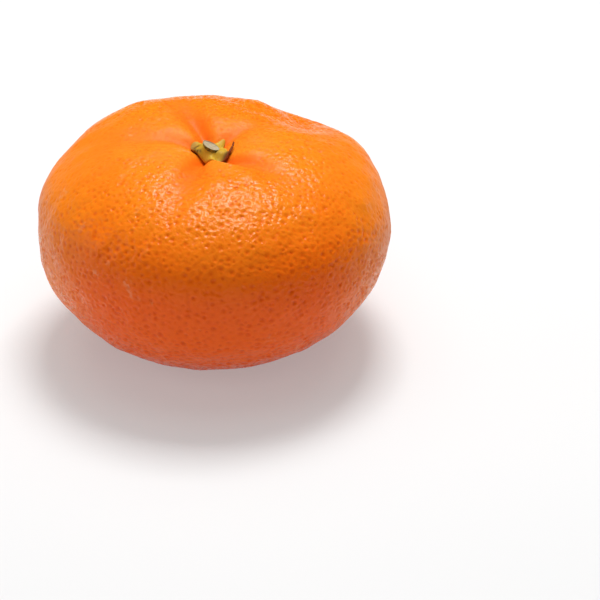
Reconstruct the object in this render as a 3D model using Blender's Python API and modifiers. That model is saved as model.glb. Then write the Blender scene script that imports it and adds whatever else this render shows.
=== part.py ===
"""A whole mandarin with its peel on, standing on its blossom end.

It has three pieces: the fruit, the calyx, which is a fleshy button with five points in the basin on top, and
the cut stub of the stem, which stands in plain holes through the calyx and into the fruit.

Units are metres and +Z is up. The origin is on the surface that the fruit rests on, under its middle. The
front is towards -Y, and an azimuth is counted from +X towards +Y.
"""

import math

import bmesh
import bpy
import numpy as np
from mathutils import Vector

# The fruit's plain body, an oblate form that tapers a little more below its equator than above
EQUATOR_RADIUS = 0.0369
DEPTH_SHARE = 0.985  # front to back against left to right
SHOULDER_RISE = 0.0205  # from the equator up to the shoulders
BASE_DROP = 0.0287  # from the equator down to the blossom end
FULLNESS = 0.93  # under 1 the outline is squarer than an ellipse
BELT_SHIFT = 0.0008  # how far the equator's middle lies to the right of the stem
FLAT_SPOT_SINK = 0.0009  # how much of the blossom end is pressed flat
FLAT_SPOT_EASE = 0.0003  # how softly the peel leaves the flat spot

# The basin round the stem, a wide dip with a narrower one in its middle
BASIN_DEPTHS = (0.0024, 0.0032)
BASIN_WIDTHS = (0.0150, 0.0052)

# The furrows that run out from the stem: azimuth in degrees at the stem and further out, depth, and distance
# from the stem where it is deepest
FURROWS = (
    (-118, -106, 0.0022, 0.0060),
    (-66, -40, 0.0024, 0.0052),
    (52, 40, 0.0010, 0.0056),
    (106, 112, 0.0020, 0.0070),
    (158, 171, 0.0011, 0.0078),
)
FURROW_TURN = 0.0120  # the distance from the stem within which a furrow turns
FURROW_WIDTH = 0.0007  # at the stem
FURROW_SPREAD = 0.17  # how much wider each furrow gets for each unit of distance out

# The broad swells and dips of the body: azimuth and angle from the stem in degrees, spread in degrees, height
SWELLS = (
    (48, 43, 16, -0.0029),
    (64, 42, 9, 0.0014),
    (30, 58, 14, 0.0008),
    (6, 80, 14, -0.0004),
    (126, 42, 20, 0.0016),
    (152, 60, 16, 0.0004),
    (172, 77, 13, 0.0007),
    (172, 92, 12, 0.0005),
    (192, 108, 15, 0.0011),
    (222, 132, 17, 0.0003),
    (268, 62, 24, 0.0005),
    (305, 96, 22, 0.0005),
    (62, 100, 24, 0.0009),
    (100, 118, 20, -0.0004),
)

# The unevenness of the peel, a sum of waves in seeded directions
WAVE_COUNT = 60
WAVE_LENGTHS = (0.0040, 0.0090)
WAVE_HEIGHT = 0.00007
WAVE_SEED = 7

# The dimple at the blossom end
DIMPLE_DEPTH = 0.0008
DIMPLE_WIDTH = 0.0020

# The calyx: azimuth in degrees, reach and half angle of each point
SEPALS = (
    (154, 0.0047, 30),
    (-124, 0.0030, 20),
    (-64, 0.0054, 16),
    (-28, 0.0046, 14),
    (57, 0.0051, 10),
)
CALYX_RADIUS = 0.0033  # between the points
CALYX_RIM = 0.0007  # thickness at the rim
CALYX_MOUND = 0.0019  # how much thicker the mound would be on the stem's axis
MOUND_WIDTH = 0.0026
MOUND_SLANT = 1.4  # the mound's slope against the cut face's

# The dry thread at the end of one point: azimuth, distance from the stem's axis and height over the rim
THREAD_ROUTE = (
    (-58, 0.0034, 0.0000),
    (-46, 0.0044, 0.0000),
    (-30, 0.0045, 0.0002),
    (-8, 0.0046, 0.0004),
    (10, 0.0048, 0.0005),
)
THREAD_THICKNESS = 0.0006

# The stub of the stem
STUB_RADIUS = 0.00175
STUB_TOP = 0.0027  # over the basin's floor
STUB_ROOT = 0.0030  # under the basin's floor
STUB_CUT_SLOPE = (-0.50, -0.08)  # rise of the cut face along X and along Y
STUB_EDGE = 0.00015  # the worn edge round the cut face

GAP = 0.0003  # between pieces that touch

# How finely the surfaces are divided
FRUIT_SEGMENTS, FRUIT_RINGS = 96, 54
RING_CROWDING = 0.30  # how much closer together the rings are near the stem and the blossom end
CALYX_SEGMENTS, CALYX_RINGS = 60, 14
ROUND_SEGMENTS = 28
SHARP_ANGLE = 50  # degrees between two faces from which their edge is drawn sharp

# The plain colours, with roughness
PEEL = ((0.85, 0.22, 0.01), 0.42)
CALYX_GREEN = ((0.50, 0.36, 0.05), 0.6)
STEM_WOOD = ((0.60, 0.50, 0.30), 0.7)


def body_points(polar, azimuth):
    """Points of the plain body and its outward normals, for arrays of angles from the stem and round it."""
    across = EQUATOR_RADIUS * np.abs(np.sin(polar)) ** FULLNESS
    up = np.cos(polar)
    half_height = np.where(up > 0, SHOULDER_RISE, BASE_DROP)
    x, y = across * np.cos(azimuth), across * np.sin(azimuth) * DEPTH_SHARE
    z = half_height * np.sign(up) * np.abs(up) ** FULLNESS
    normals = np.stack((x / EQUATOR_RADIUS**2, y / EQUATOR_RADIUS**2, z / half_height**2), axis=-1)
    normals /= np.linalg.norm(normals, axis=-1, keepdims=True)
    return np.stack((x + BELT_SHIFT * np.sin(polar) ** 2, y, z), axis=-1), normals


def furrow_relief(points):
    """How far the furrows sink the peel, for points on the upper half."""
    relief = np.zeros(len(points))
    distance = np.hypot(points[:, 0], points[:, 1])
    azimuth = np.arctan2(points[:, 1], points[:, 0])
    for start, end, depth, peak in FURROWS:
        turned = math.radians(start) + math.radians(end - start) * np.clip(distance / FURROW_TURN, 0, 1)
        out = np.clip(distance * np.cos(azimuth - turned), 0, None)
        aside = distance * np.sin(azimuth - turned)
        width = FURROW_WIDTH + FURROW_SPREAD * out
        relief -= depth * out / peak * np.exp(1 - out / peak) * np.exp(-((aside / width) ** 2))
    return np.where(points[:, 2] > 0, relief, 0)


def swell_relief(polar, azimuth):
    """The broad swells and dips of the body."""
    out = np.sin(polar)
    facing = np.stack((out * np.cos(azimuth), out * np.sin(azimuth), np.cos(polar)), axis=-1)
    relief = np.zeros(len(polar))
    for around, down, spread, height in SWELLS:
        a, b = math.radians(around), math.radians(down)
        middle = np.array((math.sin(b) * math.cos(a), math.sin(b) * math.sin(a), math.cos(b)))
        angle = np.degrees(np.arccos(np.clip(facing @ middle, -1, 1)))
        relief += height * np.exp(-((angle / spread) ** 2))
    return relief


def uneven_relief(points):
    """The peel's unevenness, the same each time because its waves are seeded."""
    rng = np.random.default_rng(WAVE_SEED)
    directions = rng.normal(size=(WAVE_COUNT, 3))
    directions /= np.linalg.norm(directions, axis=1, keepdims=True)
    lengths = rng.uniform(*WAVE_LENGTHS, WAVE_COUNT)
    starts = rng.uniform(0, 2 * math.pi, WAVE_COUNT)
    waves = np.sin(points @ (2 * math.pi * directions / lengths[:, None]).T + starts)
    return WAVE_HEIGHT * waves.sum(axis=1) * math.sqrt(2 / WAVE_COUNT)


def rest_on_plane(height):
    """Heights with all that would lie under the surface pressed flat, and a soft turn beside it."""
    turn = np.clip(height + FLAT_SPOT_EASE, 0, 2 * FLAT_SPOT_EASE) ** 2 / (4 * FLAT_SPOT_EASE)
    return np.where(height > FLAT_SPOT_EASE, height, turn)


def dimple_relief(distance):
    """The dimple's height over the flat spot, which is none from twice its width outwards."""
    share = np.clip(distance / (2 * DIMPLE_WIDTH), 0, 1)
    return DIMPLE_DEPTH * (1 - share**2) ** 2


def fruit_points(polar, azimuth, furrowed=True):
    """Points of the peel, for arrays of angles from the stem and round it."""
    points, normals = body_points(polar, azimuth)
    relief = swell_relief(polar, azimuth) + uneven_relief(points)
    if furrowed:
        relief += furrow_relief(points)
    distance = np.hypot(points[:, 0], points[:, 1])
    upper = points[:, 2] > 0
    points = points + normals * relief[:, None]
    for depth, width in zip(BASIN_DEPTHS, BASIN_WIDTHS):
        points[:, 2] -= np.where(upper, depth * np.exp(-((distance / width) ** 2)), 0)
    points[:, 2] = rest_on_plane(points[:, 2] + BASE_DROP - FLAT_SPOT_SINK)
    points[:, 2] += np.where(upper, 0, dimple_relief(distance))
    return points


def peel_at(distance, azimuth, furrowed=True):
    """Points of the peel at these distances from the stem's axis, for the pieces that sit in the basin."""
    polar = np.arcsin((distance / EQUATOR_RADIUS) ** (1 / FULLNESS))
    return fruit_points(polar, azimuth, furrowed)


def angles_of(bm):
    """Each vertex of a unit sphere as an angle from +Z and an azimuth."""
    facing = np.array([v.co for v in bm.verts])
    return np.arccos(np.clip(facing[:, 2], -1, 1)), np.arctan2(facing[:, 1], facing[:, 0])


def move_vertices(bm, points):
    for vertex, point in zip(bm.verts, points):
        vertex.co = Vector(point)


def add_object(name, bm, collection, material=None):
    """The bmesh as a named, smooth-shaded object."""
    mesh = bpy.data.meshes.new(name)
    bm.to_mesh(mesh)
    bm.free()
    mesh.shade_smooth()
    mesh.set_sharp_from_angle(angle=math.radians(SHARP_ANGLE))
    obj = bpy.data.objects.new(name, mesh)
    collection.objects.link(obj)
    if material:
        mesh.materials.append(material)
    return obj


def add_helper(name, bm, helpers):
    """A shape that cuts or joins another, and isn't a piece of its own."""
    obj = add_object(name, bm, helpers)
    obj.display_type = "WIRE"
    obj.hide_render = True
    return obj


def add_boolean(obj, other, operation):
    boolean = obj.modifiers.new(f"{operation.lower()} {other.name}", "BOOLEAN")
    boolean.object = other
    boolean.operation = operation
    boolean.solver = "EXACT"


def make_material(name, colour, roughness):
    material = bpy.data.materials.new(name)
    material.use_nodes = True
    shader = material.node_tree.nodes["Principled BSDF"]
    shader.inputs["Base Color"].default_value = (*colour, 1)
    shader.inputs["Roughness"].default_value = roughness
    shader.inputs["Metallic"].default_value = 0
    return material


def round_bar(radius, bottom, top):
    """An upright cylinder about the stem's axis."""
    bm = bmesh.new()
    bmesh.ops.create_cone(
        bm, cap_ends=True, segments=ROUND_SEGMENTS, radius1=radius, radius2=radius, depth=top - bottom
    )
    bmesh.ops.translate(bm, verts=bm.verts, vec=(0, 0, (top + bottom) / 2))
    return bm


def basin_floor():
    """The height of the peel on the stem's axis."""
    return fruit_points(np.array([0.0]), np.array([0.0]))[0, 2]


def make_fruit(collection, helpers):
    bm = bmesh.new()
    bmesh.ops.create_uvsphere(bm, u_segments=FRUIT_SEGMENTS, v_segments=FRUIT_RINGS, radius=1)
    polar, azimuth = angles_of(bm)
    polar -= RING_CROWDING * np.sin(2 * polar) / 2
    move_vertices(bm, fruit_points(polar, azimuth))
    fruit = add_object("fruit", bm, collection, make_material("peel", *PEEL))

    floor = basin_floor()
    hole = round_bar(STUB_RADIUS + GAP, floor - STUB_ROOT - GAP, floor + STUB_TOP)
    add_boolean(fruit, add_helper("stem_hole_in_fruit", hole, helpers), "DIFFERENCE")
    return fruit


def calyx_reach(azimuth):
    """How far the calyx reaches from the axis: a round button with five points."""
    reach = np.full(len(azimuth), CALYX_RADIUS)
    for around, length, half_angle in SEPALS:
        aside = np.degrees(np.abs((azimuth - math.radians(around) + math.pi) % (2 * math.pi) - math.pi))
        reach += (length - CALYX_RADIUS) * np.exp(-((aside / half_angle) ** 2))
    return reach


def calyx_points(side, azimuth):
    """Points of the calyx. side is the angle from straight up of a sphere that is pressed into its shape."""
    distance = np.sin(side) * calyx_reach(azimuth)
    points = peel_at(distance, azimuth)
    over_furrows = peel_at(distance, azimuth, furrowed=False)[:, 2] - points[:, 2]
    slope_x, slope_y = STUB_CUT_SLOPE
    slant = MOUND_SLANT * distance * (np.cos(azimuth) * slope_x + np.sin(azimuth) * slope_y)
    mound = (CALYX_MOUND + slant + over_furrows) * np.exp(-((distance / MOUND_WIDTH) ** 2))
    points[:, 2] += GAP + (CALYX_RIM + mound) * (1 + np.cos(side)) / 2
    return points


def make_thread(helpers):
    """The dry thread as a mesh, from a tapered curve."""
    curve = bpy.data.curves.new("dry_thread", "CURVE")
    curve.dimensions = "3D"
    curve.bevel_depth = THREAD_THICKNESS / 2
    curve.bevel_resolution = 1
    curve.use_fill_caps = True
    spline = curve.splines.new("POLY")
    spline.points.add(len(THREAD_ROUTE) - 1)
    for point, (around, distance, height) in zip(spline.points, THREAD_ROUTE):
        foot = peel_at(np.array([distance]), np.array([math.radians(around)]))[0]
        point.co = (foot[0], foot[1], foot[2] + GAP + CALYX_RIM / 2 + height, 1)
    guide = bpy.data.objects.new("dry_thread_guide", curve)
    helpers.objects.link(guide)
    graph = bpy.context.evaluated_depsgraph_get()
    mesh = bpy.data.meshes.new_from_object(guide.evaluated_get(graph))
    bm = bmesh.new()
    bm.from_mesh(mesh)
    bmesh.ops.remove_doubles(bm, verts=bm.verts, dist=1e-6)
    thread = add_helper("dry_thread", bm, helpers)
    thread.matrix_world = guide.matrix_world
    bpy.data.objects.remove(guide)
    bpy.data.meshes.remove(mesh)
    return thread


def make_calyx(collection, helpers):
    bm = bmesh.new()
    bmesh.ops.create_uvsphere(bm, u_segments=CALYX_SEGMENTS, v_segments=CALYX_RINGS, radius=1)
    side, azimuth = angles_of(bm)
    move_vertices(bm, calyx_points(side, azimuth))
    calyx = add_object("calyx", bm, collection, make_material("calyx_green", *CALYX_GREEN))
    add_boolean(calyx, make_thread(helpers), "UNION")

    floor = basin_floor()
    hole = round_bar(STUB_RADIUS + GAP, floor - STUB_ROOT, floor + 2 * STUB_TOP)
    add_boolean(calyx, add_helper("stem_hole_in_calyx", hole, helpers), "DIFFERENCE")
    return calyx


def make_stub(collection):
    floor = basin_floor()
    bm = round_bar(STUB_RADIUS, floor - STUB_ROOT, floor + STUB_TOP)
    for vertex in bm.verts:
        if vertex.co.z > floor:
            vertex.co.z += vertex.co.x * STUB_CUT_SLOPE[0] + vertex.co.y * STUB_CUT_SLOPE[1]
    stub = add_object("stem_stub", bm, collection, make_material("stem_wood", *STEM_WOOD))
    bevel = stub.modifiers.new("worn edge", "BEVEL")
    bevel.width = STUB_EDGE
    bevel.segments = 2
    return stub


def centre_on_origin(pieces):
    """Moves every piece alike, so that the middle of the fruit's box is over the origin."""
    fruit = np.array([v.co for v in pieces[0].data.vertices])
    middle = (fruit.min(axis=0) + fruit.max(axis=0)) / 2
    for obj in pieces:
        obj.location = (-middle[0], -middle[1], 0)


def new_collection(name):
    collection = bpy.data.collections.new(name)
    bpy.context.scene.collection.children.link(collection)
    return collection


def main():
    for obj in list(bpy.data.objects):
        bpy.data.objects.remove(obj)
    mandarin = new_collection("mandarin")
    helpers = new_collection("helpers")
    fruit = make_fruit(mandarin, helpers)
    calyx = make_calyx(mandarin, helpers)
    stub = make_stub(mandarin)
    centre_on_origin([fruit, calyx, stub, *helpers.objects])


main()
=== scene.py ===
"""The looks of a whole mandarin: its pitted peel, the fleshy calyx with a dry thread, and the cut stem.

Units are metres and +Z is up. The forms repeat the solids' own formulas on much finer meshes, round the
stem's axis. Azimuths are counted from +X towards +Y, and a polar angle is counted from the stem.
"""

import math

import bmesh
import bpy
import numpy as np
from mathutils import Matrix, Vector
from mathutils.kdtree import KDTree


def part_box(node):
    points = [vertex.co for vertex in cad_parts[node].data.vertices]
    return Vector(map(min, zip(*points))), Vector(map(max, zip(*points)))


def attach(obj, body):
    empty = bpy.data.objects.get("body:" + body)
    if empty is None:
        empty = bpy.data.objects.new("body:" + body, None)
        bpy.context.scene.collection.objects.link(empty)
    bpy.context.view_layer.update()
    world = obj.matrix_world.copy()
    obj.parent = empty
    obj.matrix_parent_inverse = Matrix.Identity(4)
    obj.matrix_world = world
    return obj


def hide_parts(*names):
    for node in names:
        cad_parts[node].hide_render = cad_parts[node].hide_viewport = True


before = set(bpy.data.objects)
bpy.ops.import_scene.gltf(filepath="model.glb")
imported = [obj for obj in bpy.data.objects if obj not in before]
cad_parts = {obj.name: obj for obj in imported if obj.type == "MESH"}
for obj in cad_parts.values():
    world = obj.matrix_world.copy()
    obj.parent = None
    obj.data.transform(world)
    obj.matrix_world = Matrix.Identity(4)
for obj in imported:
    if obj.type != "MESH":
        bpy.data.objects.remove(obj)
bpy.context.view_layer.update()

# The camera, as the photograph was taken
CAMERA_ELEVATION = 32  # degrees
CAMERA_DISTANCE = 0.70
CAMERA_AIM = (0.01803, -0.00115, 0.00822)
CAMERA_LENS = 196.56  # mm on a sensor of 36 mm

# The fruit's plain body
EQUATOR_RADIUS = 0.0369
DEPTH_SHARE = 0.985
SHOULDER_RISE = 0.0205
BASE_DROP = 0.0287
FULLNESS = 0.93
BELT_SHIFT = 0.0008
FLAT_SPOT_SINK = 0.0009
FLAT_SPOT_EASE = 0.0003

# The basin round the stem
BASIN_DEPTHS = (0.0024, 0.0032)
BASIN_WIDTHS = (0.0150, 0.0052)

# The furrows: azimuth in degrees at the stem and further out, depth, and distance where it is deepest
FURROWS = (
    (-118, -106, 0.0022, 0.0060),
    (-66, -40, 0.0024, 0.0052),
    (52, 40, 0.0010, 0.0056),
    (106, 112, 0.0020, 0.0070),
    (158, 171, 0.0011, 0.0078),
)
FURROW_TURN = 0.0120
FURROW_WIDTH = 0.0007
FURROW_SPREAD = 0.17

# The broad swells and dips: azimuth and angle from the stem in degrees, spread in degrees, height
SWELLS = (
    (48, 43, 16, -0.0029),
    (64, 42, 9, 0.0014),
    (30, 58, 14, 0.0008),
    (6, 80, 14, -0.0004),
    (126, 42, 20, 0.0016),
    (152, 60, 16, 0.0004),
    (172, 77, 13, 0.0007),
    (172, 92, 12, 0.0005),
    (192, 108, 15, 0.0011),
    (222, 132, 17, 0.0003),
    (268, 62, 24, 0.0005),
    (305, 96, 22, 0.0005),
    (62, 100, 24, 0.0009),
    (100, 118, 20, -0.0004),
)

# The unevenness of the peel
WAVE_COUNT = 60
WAVE_LENGTHS = (0.0040, 0.0090)
WAVE_HEIGHT = 0.00007
WAVE_SEED = 7

# The dimple at the blossom end
DIMPLE_DEPTH = 0.0008
DIMPLE_WIDTH = 0.0020

# The pits of the peel
PIT_COUNT = 6000
PIT_DEPTHS = (0.00009, 0.00030)
PIT_LEAN = 1.2  # over 1, more of the pits are shallow
PIT_RADII = (0.00042, 0.00085)
RIM_HEIGHT = 0.14  # the swell round a pit, in the pit's depths
RIM_PLACE, RIM_WIDTH = 1.2, 0.3  # in the pit's radii
PIT_SEED = 3
PIT_SHAKE = 0.30  # how far the centres are shaken before they relax, in their spacings
RELAX_ROUNDS = 4
SPLIT_ROUNDS = 2  # how often each triangle between the centres is split in four
AREA_SAMPLES = 2001  # angles from the stem at which the body's area is summed up

# The pits are shallower in the basin, in the furrows and in the smooth patches. A patch has an azimuth and
# angle from the stem, a spread, all in degrees, and the share of the depth that is lost in its middle
CALM_DISTANCES = (0.006, 0.020)  # from the stem's axis, between which the basin's calm ends
CALM_SHARE = 0.45  # of the pits' depth, left in the basin
FURROW_CALM = 0.6  # share of the depth that is lost in the furrows
FURROW_FULL = 0.0015  # depth from which a furrow counts in full
SMOOTH_PATCHES = (
    (176, 60, 33, 0.62),
    (2, 74, 32, 0.48),
)

# The calyx: azimuth in degrees, reach and half angle of each point
SEPALS = (
    (154, 0.0047, 30),
    (-124, 0.0030, 20),
    (-64, 0.0054, 16),
    (-28, 0.0046, 14),
    (57, 0.0051, 10),
)
CALYX_RADIUS = 0.0033
CALYX_RIM = 0.0007
CALYX_MOUND = 0.0019
MOUND_WIDTH = 0.0026
MOUND_SLANT = 1.4
STUB_DIP = 0.0008  # how far the calyx stays back under the stub's cut face
COLLAR_RISE = 0.00018  # how far it swells up round the stub
COLLAR_WIDTH = 0.0005
CALYX_SINK = 0.00040  # how far the calyx's underside is grown into the peel
CALYX_SEGMENTS, CALYX_RINGS = 288, 72

# The calyx is dry on its left lobe and its right point, and brown at the end of the right one; on the right
# point the tan and brown are partly painted shade. Azimuth and spread in degrees, and the distances from the
# axis between which it turns dry or brown
DRY_LEFT, DRY_AND_SHADE_RIGHT = (172, 30), (-35, 24)
DRY_DISTANCES = (0.0024, 0.0040)
BROWN_DISTANCES = (0.0030, 0.0042)

# Brown marks on the calyx: azimuth in degrees, distance from the axis, spread and strength
CALYX_MARKS = (
    (170, 0.0029, 0.00070, 1.0),
    (182, 0.0033, 0.00050, 0.9),
    (196, 0.0035, 0.00035, 0.9),
    (206, 0.0031, 0.00035, 0.9),
    (214, 0.0027, 0.00030, 0.7),
)

# The dry thread: azimuth, distance from the stem's axis and height over the rim
THREAD_ROUTE = (
    (-58, 0.0034, 0.0000),
    (-46, 0.0044, 0.0000),
    (-30, 0.0045, 0.0002),
    (-8, 0.0046, 0.0004),
    (10, 0.0048, 0.0005),
)
THREAD_THICKNESS = (0.0011, 0.00035)  # at its root and at its tip
THREAD_TAPER = 0.6  # under 1, it gets thinner sooner
THREAD_FLATNESS = 0.8  # its height against its width
THREAD_WAVES = (0.12, 40, 17)  # how uneven it is, and the rates of two waves along it
THREAD_TIP = 0.5  # how far its last ring closes up
THREAD_SMOOTHING = 60  # rounds
THREAD_SEGMENTS, THREAD_RINGS = 16, 60

# The stub of the stem
STUB_RADIUS = 0.00175
STUB_TOP = 0.0027
STUB_ROOT = 0.0030
STUB_CUT_SLOPE = (-0.50, -0.08)
STUB_WAVES = ((3, 0.03, 0.5), (5, 0.02, 2), (11, 0.008, 0))  # waves round it, with their depth and start
BARK_THICKNESS = 0.00015
CUT_DIPS = (0.9, 0.5)  # the cut face under the edge, and more halfway in, in the bark's thicknesses
STUB_SEGMENTS = 96
SIDE_STEPS, EDGE_STEPS, FACE_STEPS = 20, 8, 14
WOOD_EDGE_STEPS = 5  # how many steps of the worn edge show wood

GAP = 0.0003  # between the solids

# The patterns of the peel's finish: their sizes, and the depths that they stand for in the bumps
BLOT_SIZE, SCUFF_SIZE, SCRATCH_SIZE = 0.020, 0.006, 0.0012
GRAIN_SIZE, PEBBLE_SIZE, FINE_SIZE = 0.00130, 0.0009, 0.00030
GRAIN_DEPTH, PEBBLE_DEPTH, FINE_DEPTH = 0.00008, 0.00020, 0.00002

# Where the peel's tone turns: redder under the first heights and deeper still under the second, which is
# painted shade low on the fruit, and more yellow to the sides, between these squares of the distance from
# the middle
SHADE_BELT_HEIGHTS = (0.026, 0.0455)
BASE_SHADE_HEIGHTS = (0.000, 0.014)
SIDE_SQUARES = (0.0004, 0.0013)

# The stage
FLOOR_HALF = 3.0
FLOOR_GREY, FLOOR_GLOW = 0.49, 0.30
WORLD_STRENGTH = 0.19
LIGHT_TARGET = (0, 0, 0.025)

# The lights: azimuth and elevation in degrees, distance, size, watts, and whether the gloss shows them
LIGHTS = {
    "overhead": (88, 74, 1.0, 1.2, 4.8, False),
    "softbox": (78, 70, 0.7, 0.26, 4.9, True),
    "left_panel": (188, 18, 0.8, 0.5, 0.9, True),
    "front_fill": (-90, 36, 0.9, 0.6, 1.1, False),
}


def rising(value, low, high):
    """0 up to low, 1 from high on, and straight between them."""
    return np.clip((value - low) / (high - low), 0, 1)


def near_azimuth(azimuth, middle, spread):
    """1 at the middle azimuth and less to both sides of it. All are in degrees."""
    aside = (azimuth - middle + 180) % 360 - 180
    return np.exp(-((aside / spread) ** 2))


def near_spot(facing, around, down, spread):
    """1 at a spot of the body and less away from it, with its azimuth, polar angle and spread in degrees."""
    a, b = math.radians(around), math.radians(down)
    middle = np.array((math.sin(b) * math.cos(a), math.sin(b) * math.sin(a), math.cos(b)))
    angle = np.degrees(np.arccos(np.clip(facing @ middle, -1, 1)))
    return np.exp(-((angle / spread) ** 2))


def body_points(polar, azimuth):
    """Points of the plain body and its outward normals, for arrays of angles from the stem and round it."""
    across = EQUATOR_RADIUS * np.abs(np.sin(polar)) ** FULLNESS
    up = np.cos(polar)
    half_height = np.where(up > 0, SHOULDER_RISE, BASE_DROP)
    x, y = across * np.cos(azimuth), across * np.sin(azimuth) * DEPTH_SHARE
    z = half_height * np.sign(up) * np.abs(up) ** FULLNESS
    normals = np.stack((x / EQUATOR_RADIUS**2, y / EQUATOR_RADIUS**2, z / half_height**2), axis=-1)
    normals /= np.linalg.norm(normals, axis=-1, keepdims=True)
    return np.stack((x + BELT_SHIFT * np.sin(polar) ** 2, y, z), axis=-1), normals


def furrow_relief(points):
    """How far the furrows sink the peel, for points on the upper half."""
    relief = np.zeros(len(points))
    distance = np.hypot(points[:, 0], points[:, 1])
    azimuth = np.arctan2(points[:, 1], points[:, 0])
    for start, end, depth, peak in FURROWS:
        turned = math.radians(start) + math.radians(end - start) * np.clip(distance / FURROW_TURN, 0, 1)
        out = np.clip(distance * np.cos(azimuth - turned), 0, None)
        aside = distance * np.sin(azimuth - turned)
        width = FURROW_WIDTH + FURROW_SPREAD * out
        relief -= depth * out / peak * np.exp(1 - out / peak) * np.exp(-((aside / width) ** 2))
    return np.where(points[:, 2] > 0, relief, 0)


def swell_relief(polar, azimuth):
    """The broad swells and dips of the body."""
    out = np.sin(polar)
    facing = np.stack((out * np.cos(azimuth), out * np.sin(azimuth), np.cos(polar)), axis=-1)
    relief = np.zeros(len(polar))
    for around, down, spread, height in SWELLS:
        relief += height * near_spot(facing, around, down, spread)
    return relief


def uneven_relief(points):
    """The peel's unevenness, the same each time because its waves are seeded."""
    rng = np.random.default_rng(WAVE_SEED)
    directions = rng.normal(size=(WAVE_COUNT, 3))
    directions /= np.linalg.norm(directions, axis=1, keepdims=True)
    lengths = rng.uniform(*WAVE_LENGTHS, WAVE_COUNT)
    starts = rng.uniform(0, 2 * math.pi, WAVE_COUNT)
    waves = np.sin(points @ (2 * math.pi * directions / lengths[:, None]).T + starts)
    return WAVE_HEIGHT * waves.sum(axis=1) * math.sqrt(2 / WAVE_COUNT)


def rest_on_plane(height):
    """Heights with all that would lie under the surface pressed flat, and a soft turn beside it."""
    turn = np.clip(height + FLAT_SPOT_EASE, 0, 2 * FLAT_SPOT_EASE) ** 2 / (4 * FLAT_SPOT_EASE)
    return np.where(height > FLAT_SPOT_EASE, height, turn)


def dimple_relief(distance):
    """The dimple's height over the flat spot, which is none from twice its width outwards."""
    share = np.clip(distance / (2 * DIMPLE_WIDTH), 0, 1)
    return DIMPLE_DEPTH * (1 - share**2) ** 2


def fruit_points(polar, azimuth, furrowed=True, extra=0):
    """Points of the peel, for angles from the stem and round it, with extra relief along the normal."""
    points, normals = body_points(polar, azimuth)
    relief = swell_relief(polar, azimuth) + uneven_relief(points) + extra
    if furrowed:
        relief += furrow_relief(points)
    distance = np.hypot(points[:, 0], points[:, 1])
    upper = points[:, 2] > 0
    points = points + normals * relief[:, None]
    for depth, width in zip(BASIN_DEPTHS, BASIN_WIDTHS):
        points[:, 2] -= np.where(upper, depth * np.exp(-((distance / width) ** 2)), 0)
    points[:, 2] = rest_on_plane(points[:, 2] + BASE_DROP - FLAT_SPOT_SINK)
    points[:, 2] += np.where(upper, 0, dimple_relief(distance))
    return points


def peel_at(distance, azimuth, furrowed=True):
    """Points of the peel at these distances from the stem's axis, for the pieces that sit in the basin."""
    polar = np.arcsin((distance / EQUATOR_RADIUS) ** (1 / FULLNESS))
    return fruit_points(polar, azimuth, furrowed)


def polar_for_share(share):
    """The angle from the stem down to which the plain body has this share of its area."""
    polar = np.linspace(0, math.pi, AREA_SAMPLES)
    points, _ = body_points(polar, np.zeros(len(polar)))
    step = np.hypot(np.diff(points[:, 0]), np.diff(points[:, 2]))
    band = step * (points[1:, 0] + points[:-1, 0])
    area = np.concatenate(([0], np.cumsum(band)))
    return np.interp(share, area / area[-1], polar)


def scattered_directions(count, seed):
    """Directions spread evenly over a sphere, then shaken so that they show no pattern; they are relaxed
    afterwards.
    """
    rng = np.random.default_rng(seed)
    height = 1 - 2 * (np.arange(count) + 0.5) / count
    turn = np.arange(count) * math.pi * (3 - math.sqrt(5))
    out = np.sqrt(1 - height**2)
    points = np.stack((out * np.cos(turn), out * np.sin(turn), height), axis=-1)
    spacing = math.sqrt(4 * math.pi / count)
    points += rng.normal(scale=PIT_SHAKE * spacing, size=points.shape)
    return points / np.linalg.norm(points, axis=1, keepdims=True)


def hull_triangles(points):
    """The points that their convex hull joins up, and its triangles."""
    bm = bmesh.new()
    for point in points:
        bm.verts.new(point)
    bmesh.ops.convex_hull(bm, input=bm.verts)
    bmesh.ops.delete(bm, geom=[v for v in bm.verts if not v.link_faces], context="VERTS")
    bmesh.ops.triangulate(bm, faces=bm.faces)
    bm.verts.index_update()
    kept = np.array([v.co for v in bm.verts])
    triangles = np.array([[v.index for v in face.verts] for face in bm.faces])
    bm.free()
    return kept, triangles


def relax(points, triangles):
    """Each point moved halfway to the middle of its neighbours."""
    total = np.zeros(points.shape)
    number = np.zeros(len(points))
    for a, b in ((0, 1), (1, 2), (2, 0)):
        np.add.at(total, triangles[:, a], points[triangles[:, b]])
        np.add.at(number, triangles[:, a], 1)
    points = (points + total / number[:, None]) / 2
    return points / np.linalg.norm(points, axis=1, keepdims=True)


def split_triangles(points, triangles):
    """Each triangle as four, with the new points on the unit sphere."""
    edges = np.concatenate([triangles[:, pair] for pair in ([0, 1], [1, 2], [2, 0])])
    unique, index = np.unique(np.sort(edges, axis=1), axis=0, return_inverse=True)
    index = index.reshape(3, -1) + len(points)
    middles = points[unique].sum(axis=1)
    middles /= np.linalg.norm(middles, axis=1, keepdims=True)
    a, b, c = triangles.T
    ab, bc, ca = index
    corners = ((a, ab, ca), (ab, b, bc), (ca, bc, c), (ab, bc, ca))
    return np.concatenate((points, middles)), np.concatenate([np.stack(k, axis=1) for k in corners])


def peel_angles(points):
    """Angles from the stem and round it for points on a unit sphere, so that areas keep their shares."""
    return polar_for_share((1 - points[:, 2]) / 2), np.arctan2(points[:, 1], points[:, 0])


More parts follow.
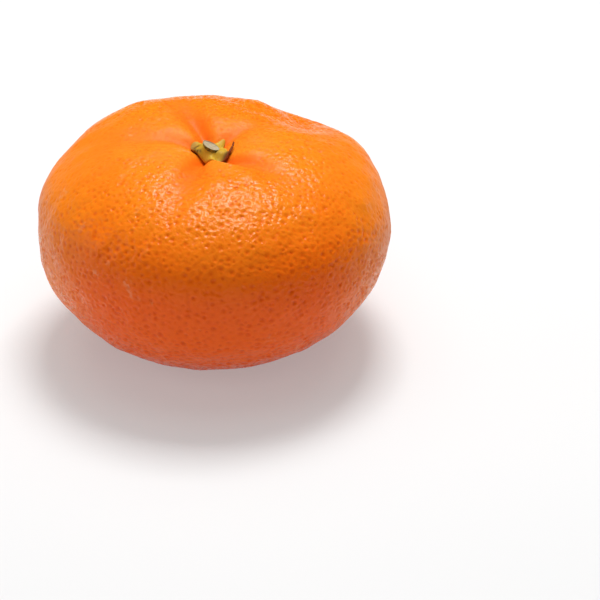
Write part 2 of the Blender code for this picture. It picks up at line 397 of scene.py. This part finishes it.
def pit_relief(points, centres, rng):
    """How far the pits sink the peel at each point, and how deep in a pit the point is, from 0 to 1."""
    tree = KDTree(len(centres))
    for number, centre in enumerate(centres):
        tree.insert(centre, number)
    tree.balance()
    depths = PIT_DEPTHS[0] + (PIT_DEPTHS[1] - PIT_DEPTHS[0]) * rng.random(len(centres)) ** PIT_LEAN
    radii = rng.uniform(*PIT_RADII, len(centres))
    relief, inside = np.zeros(len(points)), np.zeros(len(points))
    for number, point in enumerate(points):
        for _, near, gap in tree.find_n(point, 2):
            share = gap / radii[near]
            if share < 1:
                bowl = (1 - share**2) ** 2
                relief[number] -= depths[near] * bowl
                inside[number] = max(inside[number], bowl * depths[near] / PIT_DEPTHS[1])
            relief[number] += depths[near] * RIM_HEIGHT * math.exp(-(((share - RIM_PLACE) / RIM_WIDTH) ** 2))
    return relief, inside


def calm_share(points):
    """How much of the pits' depth is left at each point: little in the basin and the smooth patches."""
    distance = np.where(points[:, 2] > 0, np.hypot(points[:, 0], points[:, 1]), CALM_DISTANCES[1])
    share = rising(distance, *CALM_DISTANCES)
    calm = CALM_SHARE + (1 - CALM_SHARE) * share**2 * (3 - 2 * share)
    facing = points / np.linalg.norm(points, axis=1, keepdims=True)
    for around, down, spread, loss in SMOOTH_PATCHES:
        calm *= 1 - loss * near_spot(facing, around, down, spread)
    return calm


def loft(rings):
    """Points and faces of a closed skin over rings of points, with a point in the middle of both ends."""
    count, segments, _ = rings.shape
    points = np.concatenate((rings.reshape(-1, 3), rings[:1].mean(axis=1), rings[-1:].mean(axis=1)))
    faces = []
    for near in range(segments):
        far = (near + 1) % segments
        for ring in range(count - 1):
            upper, lower = ring * segments, (ring + 1) * segments
            faces.append((upper + near, lower + near, lower + far, upper + far))
        last = (count - 1) * segments
        faces.append((near, far, count * segments))
        faces.append((last + far, last + near, count * segments + 1))
    return points, faces


def add_object(name, data):
    """A new object in the scene."""
    obj = bpy.data.objects.new(name, data)
    bpy.context.scene.collection.objects.link(obj)
    return obj


def add_piece(name, points, faces, materials, nodes, attributes=None):
    """A smooth-shaded piece round the stem's axis that stands for CAD nodes, with values at its points."""
    mesh = bpy.data.meshes.new(name)
    mesh.from_pydata((points + STEM_AXIS).tolist(), [], list(map(tuple, faces)))
    for key, values in (attributes or {}).items():
        mesh.attributes.new(key, "FLOAT", "POINT").data.foreach_set("value", values.astype(np.float32))
    for material in materials:
        mesh.materials.append(material)
    bm = bmesh.new()
    bm.from_mesh(mesh)
    bmesh.ops.recalc_face_normals(bm, faces=bm.faces)
    bm.to_mesh(mesh)
    bm.free()
    mesh.shade_smooth()
    piece = add_object(name, mesh)
    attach(piece, "root")
    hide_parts(*nodes)
    return piece


class Paint:
    """A material's node tree, with short calls for the nodes that the finishes use."""

    def __init__(self, name):
        self.material = bpy.data.materials.new(name)
        self.material.use_nodes = True
        self.tree = self.material.node_tree
        self.shader = self.tree.nodes["Principled BSDF"]
        self.place = self.tree.nodes.new("ShaderNodeTexCoord").outputs["Object"]

    def fill(self, socket, value):
        """A socket takes another node's output, or a value."""
        if isinstance(value, bpy.types.NodeSocket):
            self.tree.links.new(value, socket)
        else:
            socket.default_value = value

    def set(self, **values):
        """Shader inputs, named with underscores for their spaces."""
        for name, value in values.items():
            self.fill(self.shader.inputs[name.replace("_", " ")], value)

    def noise(self, size, detail=2.0, stretch=(1, 1, 1)):
        """A soft random pattern of about 0 to 1 whose blots are about size metres across."""
        moved = self.tree.nodes.new("ShaderNodeMapping")
        moved.inputs["Scale"].default_value = stretch
        self.fill(moved.inputs["Vector"], self.place)
        node = self.tree.nodes.new("ShaderNodeTexNoise")
        self.fill(node.inputs["Vector"], moved.outputs["Vector"])
        node.inputs["Scale"].default_value = 1 / size
        node.inputs["Detail"].default_value = detail
        return node.outputs["Fac"]

    def cells(self, size):
        """Distance from the nearest of random points about size metres apart, about 0 to 1."""
        node = self.tree.nodes.new("ShaderNodeTexVoronoi")
        self.fill(node.inputs["Vector"], self.place)
        node.inputs["Scale"].default_value = 1 / size
        return node.outputs["Distance"]

    def attribute(self, name):
        """The value that the mesh keeps at its points under this name."""
        node = self.tree.nodes.new("ShaderNodeAttribute")
        node.attribute_name = name
        return node.outputs["Fac"]

    def place_along(self, axis):
        """The place on the piece along X, Y or Z, in metres."""
        node = self.tree.nodes.new("ShaderNodeSeparateXYZ")
        self.fill(node.inputs[0], self.place)
        return node.outputs[axis]

    def span(self, value, low, high, to_low=0.0, to_high=1.0):
        """value from low to high mapped smoothly to another span."""
        node = self.tree.nodes.new("ShaderNodeMapRange")
        node.interpolation_type = "SMOOTHSTEP"
        self.fill(node.inputs["Value"], value)
        for name, number in (("From Min", low), ("From Max", high), ("To Min", to_low), ("To Max", to_high)):
            node.inputs[name].default_value = number
        return node.outputs["Result"]

    def times(self, first, second):
        """The product of two values."""
        node = self.tree.nodes.new("ShaderNodeMath")
        node.operation = "MULTIPLY"
        self.fill(node.inputs[0], first)
        self.fill(node.inputs[1], second)
        return node.outputs[0]

    def mix(self, share, first, second):
        """A colour between two colours. They are the node's inputs 6 and 7, and it is output 2."""
        node = self.tree.nodes.new("ShaderNodeMix")
        node.data_type = "RGBA"
        self.fill(node.inputs[0], share)
        self.fill(node.inputs[6], first)
        self.fill(node.inputs[7], second)
        return node.outputs[2]

    def blots(self, size, spread, first, second, detail=3):
        """Two colours in soft blots. The smaller the spread, the harder their edges."""
        return self.mix(self.span(self.noise(size, detail), 0.5 - spread, 0.5 + spread), first, second)

    def bump(self, height, distance, before=None):
        """A bumped normal: height of 0 to 1 stands for distance in metres."""
        node = self.tree.nodes.new("ShaderNodeBump")
        node.inputs["Distance"].default_value = distance
        self.fill(node.inputs["Height"], height)
        if before:
            self.fill(node.inputs["Normal"], before)
        return node.outputs["Normal"]


def colour(red, green, blue):
    """A colour given as screen values of 0 to 255, in the linear values that the shader takes."""
    shares = [value / 255 for value in (red, green, blue)]
    linear = [share / 12.92 if share < 0.04045 else ((share + 0.055) / 1.055) ** 2.4 for share in shares]
    return (*linear, 1)


def peel_tone(paint, grain):
    """The peel's orange, with its turns by height and side, painted shade low down and in its furrows, pits
    and grain, and pale scuffs.
    """
    tone = paint.blots(BLOT_SIZE, 0.15, colour(230, 119, 18), colour(230, 127, 22))
    height = paint.place_along("Z")
    # Painted shade: redder and then deeper orange towards the bottom, under the lit top
    tone = paint.mix(paint.span(height, *SHADE_BELT_HEIGHTS), colour(237, 94, 12), tone)
    tone = paint.mix(paint.span(height, *BASE_SHADE_HEIGHTS), colour(208, 66, 0), tone)
    across = paint.place_along("X")
    sides = paint.span(paint.times(across, across), *SIDE_SQUARES, 0.0, 0.6)
    tone = paint.mix(sides, tone, colour(240, 140, 28))
    # Painted shade: deeper orange-red in the furrows' creases
    tone = paint.mix(paint.times(paint.attribute("furrow"), 0.65), tone, colour(234, 92, 4))
    # Painted shade: darker orange in the pits' hollows
    tone = paint.mix(paint.times(paint.attribute("pit"), 0.65), tone, colour(212, 66, 0))
    # Painted shade: darker red in the middles of the fine cells, the small pits
    tone = paint.mix(paint.span(grain, 0.0, 0.6, 0.12, 0.0), tone, colour(224, 72, 0))
    scuffed = paint.span(paint.noise(SCUFF_SIZE, detail=4), 0.60, 0.72)
    scratches = paint.span(paint.noise(SCRATCH_SIZE), 0.45, 0.6)
    scuffs = paint.times(paint.times(scuffed, scratches), 0.35)
    return paint.mix(scuffs, tone, colour(232, 168, 124))


def peel_finish():
    """Waxy citrus peel, glossy where it is pitted and duller where it is calm."""
    paint = Paint("peel_finish")
    grain = paint.span(paint.cells(GRAIN_SIZE), 0.0, 0.45)
    pitted = paint.attribute("pitted")
    paint.set(Base_Color=peel_tone(paint, grain))
    paint.set(Roughness=paint.span(pitted, 0.30, 1.0, 0.50, 0.20))
    paint.set(Subsurface_Weight=0.25, Subsurface_Radius=(1.0, 0.30, 0.08), Subsurface_Scale=0.0010)
    paint.set(IOR=1.40, Specular_IOR_Level=0.21)
    normal = paint.bump(paint.times(grain, pitted), GRAIN_DEPTH)
    normal = paint.bump(paint.times(paint.noise(PEBBLE_SIZE), pitted), PEBBLE_DEPTH, normal)
    paint.set(Normal=paint.bump(paint.noise(FINE_SIZE), FINE_DEPTH, normal))
    return paint.material


def calyx_finish():
    """Fleshy yellow-green, tan where it is dry and dark brown at its marks and the right point's end; on the
    right point partly painted shade.
    """
    paint = Paint("calyx_finish")
    tone = paint.blots(0.0016, 0.15, colour(182, 144, 28), colour(194, 156, 42))
    tone = paint.mix(paint.span(paint.noise(0.0009, detail=3), 0.55, 0.75), tone, colour(164, 146, 30))
    # Tan where dry and dark brown where brown; on the right point both are partly painted shade
    tone = paint.mix(paint.times(paint.attribute("dry"), 0.9), tone, colour(150, 104, 44))
    tone = paint.mix(paint.attribute("brown"), tone, colour(60, 26, 8))
    paint.set(Base_Color=tone, Roughness=0.55, Specular_IOR_Level=0.3)
    paint.set(Subsurface_Weight=0.15, Subsurface_Radius=(1.0, 0.8, 0.3), Subsurface_Scale=0.0008)
    paint.set(Normal=paint.bump(paint.noise(0.0005, detail=3), 0.00008))
    return paint.material


def thread_finish():
    """Dry brown plant tissue."""
    paint = Paint("thread_finish")
    tone = paint.blots(0.0008, 0.1, colour(96, 40, 8), colour(130, 60, 18))
    paint.set(Base_Color=tone, Roughness=0.7, Specular_IOR_Level=0.2)
    paint.set(Normal=paint.bump(paint.noise(0.0003, detail=3), 0.00006))
    return paint.material


def bark_finish():
    """Dark green bark with a grain along the stem."""
    paint = Paint("bark_finish")
    tone = paint.blots(0.0006, 0.1, colour(76, 78, 24), colour(128, 120, 40))
    paint.set(Base_Color=tone, Roughness=0.6)
    paint.set(Normal=paint.bump(paint.noise(0.0004, detail=3, stretch=(1, 1, 0.3)), 0.00008))
    return paint.material


def cut_wood_finish():
    """Pale cut wood with darker pores."""
    paint = Paint("cut_wood_finish")
    tone = paint.blots(0.0007, 0.15, colour(160, 145, 114), colour(176, 162, 132), detail=4)
    pores = paint.span(paint.noise(0.0003), 0.55, 0.75, 0, 0.4)
    tone = paint.mix(pores, tone, colour(158, 144, 110))
    paint.set(Base_Color=tone, Roughness=0.8)
    paint.set(Normal=paint.bump(paint.noise(0.0002, detail=3), 0.00006))
    return paint.material


def make_peel():
    """The peel, finer than the pits, with the pits, furrows and calm places kept as values at its points."""
    rng = np.random.default_rng(PIT_SEED)
    points, triangles = hull_triangles(scattered_directions(PIT_COUNT, PIT_SEED))
    for _ in range(RELAX_ROUNDS):
        points, triangles = hull_triangles(relax(points, triangles))
    centres = fruit_points(*peel_angles(points))
    for _ in range(SPLIT_ROUNDS):
        points, triangles = split_triangles(points, triangles)
    polar, azimuth = peel_angles(points)
    relief, pit = pit_relief(fruit_points(polar, azimuth), centres, rng)
    body, _ = body_points(polar, azimuth)
    furrow = rising(-furrow_relief(body), 0, FURROW_FULL)
    calm = calm_share(body) * (1 - FURROW_CALM * furrow)
    relief, pit = relief * calm, pit * calm
    skin = fruit_points(polar, azimuth, extra=relief)
    values = {"pit": pit, "furrow": furrow, "pitted": calm}
    add_piece("peel", skin, triangles, [peel_finish()], ["fruit"], values)


def calyx_reach(azimuth):
    """How far the calyx reaches from the axis: a round button with five points."""
    reach = np.full(len(azimuth), CALYX_RADIUS)
    for around, length, half_angle in SEPALS:
        reach += (length - CALYX_RADIUS) * near_azimuth(np.degrees(azimuth), around, half_angle)
    return reach


def calyx_points(side, azimuth):
    """Points of the calyx. side is the angle from straight up of a sphere that is pressed into shape."""
    distance = np.sin(side) * calyx_reach(azimuth)
    points = peel_at(distance, azimuth)
    over_furrows = peel_at(distance, azimuth, furrowed=False)[:, 2] - points[:, 2]
    slope_x, slope_y = STUB_CUT_SLOPE
    slant = MOUND_SLANT * distance * (np.cos(azimuth) * slope_x + np.sin(azimuth) * slope_y)
    mound = (CALYX_MOUND + slant + over_furrows) * np.exp(-((distance / MOUND_WIDTH) ** 2))
    under_stub = STUB_DIP * np.clip(1 - (distance / STUB_RADIUS) ** 2, 0, 1)
    collar = COLLAR_RISE * np.exp(-(((distance - STUB_RADIUS) / COLLAR_WIDTH) ** 2))
    top = GAP + CALYX_RIM + mound + collar - under_stub
    points[:, 2] += -CALYX_SINK + (top + CALYX_SINK) * (1 + np.cos(side)) / 2
    return points


def make_calyx():
    """The fleshy button round the stub, with its dry and brown places kept as values at its points; on the
    right point they are partly painted shade.
    """
    sides = np.linspace(0, math.pi, CALYX_RINGS + 2)[1:-1]
    around = np.arange(CALYX_SEGMENTS) / CALYX_SEGMENTS * 2 * math.pi
    side, azimuth = (grid.ravel() for grid in np.meshgrid(sides, around, indexing="ij"))
    rings = calyx_points(side, azimuth).reshape(CALYX_RINGS, CALYX_SEGMENTS, 3)
    points, faces = loft(rings)
    distance = np.hypot(points[:, 0], points[:, 1])
    turn = np.degrees(np.arctan2(points[:, 1], points[:, 0]))
    # On the right point, dry and brown stand partly for painted shade
    left, right = near_azimuth(turn, *DRY_LEFT), near_azimuth(turn, *DRY_AND_SHADE_RIGHT)
    dry = rising(distance, *DRY_DISTANCES) * np.clip(left + right, 0, 1)
    brown = rising(distance, *BROWN_DISTANCES) * right
    for around, far, spread, share in CALYX_MARKS:
        a = math.radians(around)
        gap = np.hypot(points[:, 0] - far * math.cos(a), points[:, 1] - far * math.sin(a))
        brown = np.maximum(brown, share * np.exp(-((gap / spread) ** 2)))
    values = {"dry": dry, "brown": brown}
    add_piece("calyx_button", points, faces, [calyx_finish()], ["calyx"], values)


def make_thread():
    """The dry thread, a tapered tube along a smooth curve through its route's points."""
    feet = []
    for around, distance, height in THREAD_ROUTE:
        foot = peel_at(np.array([distance]), np.array([math.radians(around)]))[0]
        feet.append(foot + (0, 0, GAP + CALYX_RIM / 2 + height))
    feet = np.array(feet)
    knots = np.arange(len(feet))
    at = np.linspace(0, len(feet) - 1, THREAD_RINGS)
    spans = [np.clip(1 - np.abs(at - knot), 0, 1) for knot in knots]
    line = np.stack(spans, axis=1) @ feet
    for _ in range(THREAD_SMOOTHING):
        line[1:-1] = (line[:-2] + 2 * line[1:-1] + line[2:]) / 4
    along = np.gradient(line, axis=0)
    along /= np.linalg.norm(along, axis=1, keepdims=True)
    side = np.cross(along, (0, 0, 1))
    side /= np.linalg.norm(side, axis=1, keepdims=True)
    up = np.cross(side, along)
    share = np.linspace(0, 1, THREAD_RINGS)
    root, tip = THREAD_THICKNESS
    unevenness, quick, slow = THREAD_WAVES
    waves = 1 + unevenness * np.sin(share * quick) * np.sin(share * slow + 1)
    half = (root + (tip - root) * share**THREAD_TAPER) / 2 * waves
    half[-1] *= THREAD_TIP
    around = np.arange(THREAD_SEGMENTS) / THREAD_SEGMENTS * 2 * math.pi
    across, over = np.cos(around)[None, :, None], THREAD_FLATNESS * np.sin(around)[None, :, None]
    offsets = across * side[:, None] + over * up[:, None]
    points, faces = loft(line[:, None] + offsets * half[:, None, None])
    add_piece("calyx_thread", points, faces, [thread_finish()], ["calyx"])


def make_stub():
    """The stub: bark up its side and over the edge, and the slanting cut face inside it."""
    floor = fruit_points(np.array([0.0]), np.array([0.0]))[0, 2]
    around = np.arange(STUB_SEGMENTS) / STUB_SEGMENTS * 2 * math.pi
    wobble = 1 + sum(depth * np.sin(number * around + start) for number, depth, start in STUB_WAVES)
    inner = STUB_RADIUS - BARK_THICKNESS
    profile = [(STUB_RADIUS, -STUB_ROOT)]
    side_height = STUB_TOP + STUB_ROOT - BARK_THICKNESS
    profile += [(STUB_RADIUS, -STUB_ROOT + side_height * k / SIDE_STEPS) for k in range(1, SIDE_STEPS + 1)]
    for k in range(1, EDGE_STEPS + 1):
        bend = k / EDGE_STEPS * math.pi
        inwards, down = BARK_THICKNESS / 2 * (1 - math.cos(bend)), BARK_THICKNESS * (1 - math.sin(bend))
        profile.append((STUB_RADIUS - inwards, STUB_TOP - down))
    bark_rings = len(profile) - WOOD_EDGE_STEPS
    at_edge, halfway = CUT_DIPS
    for k in range(1, FACE_STEPS):
        down = BARK_THICKNESS * (at_edge + halfway * math.sin(k / FACE_STEPS * math.pi))
        profile.append((inner * (1 - k / FACE_STEPS), STUB_TOP - down))
    rings = []
    for radius, height in profile:
        x, y = radius * wobble * np.cos(around), radius * wobble * np.sin(around)
        slant = np.clip((height + STUB_ROOT) / (STUB_TOP + STUB_ROOT), 0, 1)
        z = floor + height + slant * (x * STUB_CUT_SLOPE[0] + y * STUB_CUT_SLOPE[1])
        rings.append(np.stack((x, y, z), axis=-1))
    points, faces = loft(np.array(rings))
    materials = [bark_finish(), cut_wood_finish()]
    stub = add_piece("stem_cut", points, faces, materials, ["stem_stub"])
    first_wood = (bark_rings - 1) * STUB_SEGMENTS
    for face in stub.data.polygons:
        if min(face.vertices) >= first_wood:
            face.material_index = 1  # the cut wood


def direction(azimuth, elevation):
    """The direction at an azimuth and a height over the horizon, both in degrees."""
    a, e = math.radians(azimuth), math.radians(elevation)
    return Vector((math.cos(a) * math.cos(e), math.sin(a) * math.cos(e), math.sin(e)))


def aim(obj, target):
    """The object turned so that it looks at the target."""
    obj.rotation_mode = "QUATERNION"
    obj.rotation_quaternion = (Vector(target) - obj.location).to_track_quat("-Z", "Y")


def add_camera():
    """The camera, at the photograph's viewing angle."""
    data = bpy.data.cameras.new("camera")
    data.sensor_width, data.lens = 36, CAMERA_LENS
    camera = add_object("camera", data)
    camera.location = Vector(CAMERA_AIM) + CAMERA_DISTANCE * direction(-90, CAMERA_ELEVATION)
    aim(camera, CAMERA_AIM)
    bpy.context.scene.camera = camera


def add_light(name, azimuth, elevation, distance, size, power, glossy):
    """A soft square light that looks at the fruit's middle from a direction given in degrees."""
    data = bpy.data.lights.new(name, "AREA")
    data.size, data.energy = size, power
    light = add_object(name, data)
    light.visible_glossy = glossy
    light.location = Vector(LIGHT_TARGET) + distance * direction(azimuth, elevation)
    aim(light, LIGHT_TARGET)


def add_floor():
    """The plain white floor."""
    mesh = bpy.data.meshes.new("floor")
    corners = [(x * FLOOR_HALF, y * FLOOR_HALF, 0) for x, y in ((-1, -1), (1, -1), (1, 1), (-1, 1))]
    mesh.from_pydata(corners, [], [(0, 1, 2, 3)])
    floor = add_object("floor", mesh)
    paint = Paint("floor_white")
    paint.set(Base_Color=(FLOOR_GREY, FLOOR_GREY, FLOOR_GREY, 1), Roughness=0.9, Specular_IOR_Level=0.1)
    paint.set(Emission_Color=(1, 1, 1, 1), Emission_Strength=FLOOR_GLOW)
    mesh.materials.append(paint.material)


def add_world():
    """Even white light from all round, which doesn't show in the gloss."""
    world = bpy.data.worlds.new("studio")
    world.use_nodes = True
    background = world.node_tree.nodes["Background"]
    background.inputs["Color"].default_value = (1, 1, 1, 1)
    background.inputs["Strength"].default_value = WORLD_STRENGTH
    world.cycles_visibility.glossy = False
    bpy.context.scene.world = world


low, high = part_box("stem_stub")
STEM_AXIS = np.array(((low.x + high.x) / 2, (low.y + high.y) / 2, 0))

add_camera()
make_peel()
make_calyx()
make_thread()
make_stub()
add_floor()
add_world()
for name, light in LIGHTS.items():
    add_light(name, *light)
bpy.context.scene.view_settings.view_transform = "Standard"
